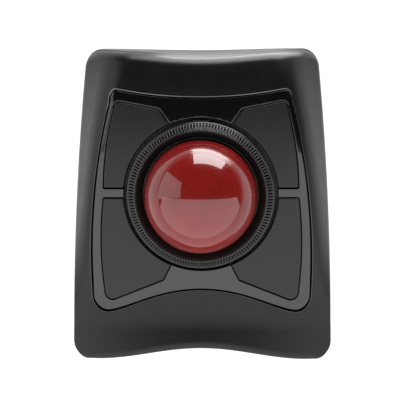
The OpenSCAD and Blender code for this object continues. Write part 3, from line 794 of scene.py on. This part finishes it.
def base_piece():
    """The base tray: eased lower edge, tucked wall, and every opening of its floor."""
    edge = 0.8
    rings = [with_height(body_outline(SEAM_Z, inset), SEAM_Z) for inset in (WALL, 0.0)]
    for z in np.linspace(SEAM_Z, FLOOR_Z + edge, 10)[1:]:
        rings.append(with_height(body_outline(z), z))
    for a in np.radians(np.linspace(0, 90, 8))[1:]:
        z = FLOOR_Z + edge * (1 - math.sin(a))
        rings.append(with_height(body_outline(z, edge * (1 - math.cos(a))), z))
    wall = strips(rings)
    half_x, half_y = SLIDER_HALF
    holes = [rectangle(*DOOR_OPENING)]
    holes += [rectangle(x - half_x, y - half_y, x + half_x, y + half_y, 0.3) for x, y in SLIDER_SPOTS]
    holes += [circle(*CONNECT_HOLE)]
    for sign in (-1, 1):
        holes += [circle(sign * x, y, SCREW_RECESS_R) for x, y in LEGS + POSTS]
        holes += [circle(sign * x, y, FOOT_R, 72) for x, y in FEET]
    points, triangles = filled([rings[-1][:, :2]] + holes, 4.0)
    floor = (with_height(points, FLOOR_Z), triangles[:, ::-1].tolist())

    def inner(p):
        """Points that are not on the outer wall, at any height where the CAD wall has its points."""
        outer = np.zeros(len(p), bool)
        for z in (1.0, 4.0, 7.0):
            ring = body_outline(z, 0.4)
            outer |= (np.abs(p[:, 2] - z) < 0.02) & ~inside(p[:, :2], ring)
        return ~outer

    rest_points, rest_faces = cad_faces("base_shell", inner)
    low = rest_points[:, 2] < FLOOR_Z + 0.01
    rest_faces = [f for f in rest_faces if not all(low[i] for i in f)]
    add_piece("base_tray", *merged(wall, floor, (rest_points, rest_faces)), MATERIALS["base"], "housing",
              ["base_shell"], "base_black")


def feet_piece():
    """Rubber feet with eased rims and a moulded ring in each face."""
    profile = [(0.01, FOOT_T), (FOOT_R, FOOT_T), (FOOT_R, 0.55), (5.85, 0.22), (5.5, 0.04), (5.1, 0.0),
               (4.3, 0.0), (4.15, 0.14), (3.85, 0.14), (3.7, 0.0), (0.01, 0.0)]
    points, faces = lathe(profile, 64)
    parts = [(points + [sign * x, y, 0], faces) for x, y in FEET for sign in (-1, 1)]
    add_piece("rubber_pads", *merged(*parts), MATERIALS["rubber"], "housing", ["rubber_feet"], "foot_rubber")


def eased_copy(node, name, material, body, slot, width, extra=()):
    """A CAD node's own shape with its flat faces joined and its edges eased by width, in millimetres."""
    points, faces = cad_faces(node, lambda p: np.ones(len(p), bool))
    piece = add_piece(name, *merged((points, faces), *extra), material, body, [node], slot)
    bm = bmesh.new()
    bm.from_mesh(piece.data)
    bmesh.ops.dissolve_limit(bm, angle_limit=math.radians(1), verts=bm.verts, edges=bm.edges)
    bm.to_mesh(piece.data)
    bm.free()
    easing = piece.modifiers.new("eased_edges", "BEVEL")
    easing.width = width * MM
    easing.segments = 3
    easing.limit_method = "ANGLE"
    easing.angle_limit = math.radians(35)
    piece.modifiers.move(1, 0)
    return piece


def ridge(x, y, z, half_x, half_y, height):
    """A small rounded bar that stands down from a face at height z."""
    rings = []
    for share, drop in ((1.0, -0.05), (1.0, 0.35), (0.85, 0.75), (0.55, 1.0)):
        loop = rectangle(x - half_x * share, y - half_y - 0.2 * (share - 1), x + half_x * share,
                         y + half_y + 0.2 * (share - 1), min(half_x * share, half_y) * 0.9)
        rings.append(with_height(loop, z - height * drop))
    points, quads = strips(rings)
    count = len(rings[0])
    return points, quads + [list(range(count)), list(range(len(points) - 1, len(points) - count - 1, -1))]


def underside_pieces():
    eased_copy("battery_door", "battery_door_panel", MATERIALS["base"], "door", "base_black", 0.22)
    for name, body in (("power_slider", "power_knob"), ("mode_slider", "mode_knob")):
        low, high = (np.array(corner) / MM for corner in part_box(name))
        middle = (low + high) / 2
        ridges = [ridge(middle[0] + step, middle[1], low[2], 0.3, 1.2, 0.2) for step in (-1.2, 0.0, 1.2)]
        eased_copy(name, name + "_knob", MATERIALS["knob"], body, "knob_grey", 0.2, ridges)
    eased_copy("connect_button", "connect_button_cap", MATERIALS["knob"], "connect_key", "knob_grey", 0.3)


top_shell_piece()
underside_pieces()
lip_piece()
bezel_piece()
button_pieces()
ring_piece()
base_piece()
feet_piece()


# ---------------------------------------------------------------- floor, lights and camera
def add_floor():
    mesh = bpy.data.meshes.new("floor")
    low = -0.0002
    mesh.from_pydata([(-4, -4, low), (4, -4, low), (4, 4, low), (-4, 4, low)], [], [(0, 1, 2, 3)])
    floor = bpy.data.objects.new("floor", mesh)
    bpy.context.scene.collection.objects.link(floor)
    material, tree, shader = new_material("pale_floor_painted_light_pool")
    shader.inputs["Base Color"].default_value = (0.2, 0.2, 0.2, 1)
    shader.inputs["Roughness"].default_value = 0.9
    shader.inputs["Specular IOR Level"].default_value = 0.1
    place = tree.nodes.new("ShaderNodeTexCoord")
    spread = tree.nodes.new("ShaderNodeMapping")
    spread.inputs["Location"].default_value = (0.09, 0.35, 0)
    spread.inputs["Scale"].default_value = (0.25, 0.25, 0.25)
    tree.links.new(place.outputs["Object"], spread.inputs["Vector"])
    # The floor glows by emission as a painted pool of light: bright round the object, dim further out.
    painted_light_pool = tree.nodes.new("ShaderNodeTexGradient")
    painted_light_pool.gradient_type = "SPHERICAL"
    tree.links.new(spread.outputs[0], painted_light_pool.inputs["Vector"])
    tree.links.new(ramp(tree, painted_light_pool.outputs["Fac"], (0.1,) * 3, (0.95,) * 3, 0.58, 0.6),
                   shader.inputs["Emission Color"])
    shader.inputs["Emission Strength"].default_value = 1.0
    mesh.materials.append(material)


def add_softbox(name, centre, target, width, height, radiance):
    """An area light that faces target and gives the same radiance at any size."""
    data = bpy.data.lights.new(name, "AREA")
    data.shape = "RECTANGLE"
    data.size, data.size_y = width, height
    data.energy = radiance * math.pi * width * height
    light = bpy.data.objects.new(name, data)
    light.location = centre
    light.visible_camera = False
    light.rotation_euler = (Vector(target) - Vector(centre)).to_track_quat("-Z", "Y").to_euler()
    bpy.context.scene.collection.objects.link(light)


def add_world(strength):
    world = bpy.data.worlds.new("studio")
    bpy.context.scene.world = world
    world.use_nodes = True
    background = world.node_tree.nodes["Background"]
    background.inputs[0].default_value = (1, 1, 1, 1)
    background.inputs[1].default_value = strength


def add_camera():
    data = bpy.data.cameras.new("camera")
    data.lens, data.sensor_width = 112.9, 36.0
    data.clip_start, data.clip_end = 0.01, 10
    camera = bpy.data.objects.new("camera", data)
    height, lean = 0.644, math.radians(1.6)
    aim = Vector((-0.00125, 0.0012, 0.0))
    place = aim + Vector((height * math.tan(lean), 0.0, height))
    back = (place - aim).normalized()
    right = Vector((0, 1, 0)).cross(back).normalized()
    up = back.cross(right)
    turn = Matrix((right, up, back)).transposed().to_4x4()
    camera.matrix_world = Matrix.Translation(place) @ turn
    bpy.context.scene.collection.objects.link(camera)
    bpy.context.scene.camera = camera


add_floor()
add_softbox("front_box", (0.0, -1.08, 0.76), (0.0, -0.14, -0.4), 16.0, 2.42, 2.6)
add_softbox("left_box", (-1.2, 0.43, 0.77), (0, 0.43, 0.77), 0.98, 1.5, 2.1)
add_softbox("rear_panel", (0.12, 0.42, 0.105), (0.12, 0, 0.105), 0.39, 0.2, 12.0)
for near, far in ((0.1, 0.15), (0.15, 0.24), (0.24, 0.42)):
    middle = (near + far) / 2
    spot = Vector((0.29 * middle, middle, 0.002))
    add_softbox("rear_glow", spot, spot + Vector((0, 0, 1)), 0.93 * middle, far - near, 9.0)
add_world(0.02)
add_camera()
bpy.context.scene.view_settings.view_transform = "Standard"
